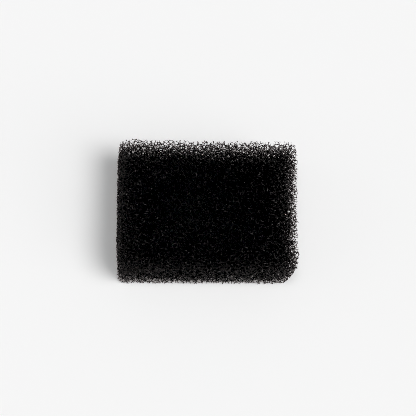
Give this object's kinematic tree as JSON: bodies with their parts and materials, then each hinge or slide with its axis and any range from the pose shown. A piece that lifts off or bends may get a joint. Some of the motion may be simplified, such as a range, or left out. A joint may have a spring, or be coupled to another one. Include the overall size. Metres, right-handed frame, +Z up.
{
  "type": "filter sponge",
  "caption": "Rectangular block of black open-cell foam with plain cut sides, which drops into a small aquarium filter and strains its water.",
  "frame": {"origin": "middle of the underside, where the block rests", "axes": "+X along the long side, +Y along the short side away from the viewer's edge in the picture, +Z up through the thickness"},
  "size_m": [0.052, 0.039, 0.02],
  "materials": {
    "black_foam": "matt open-cell polyurethane foam, satin on the strut edges"
  },
  "bodies": {
    "root": {"foam_block": "black_foam"}
  },
  "joints": []
}
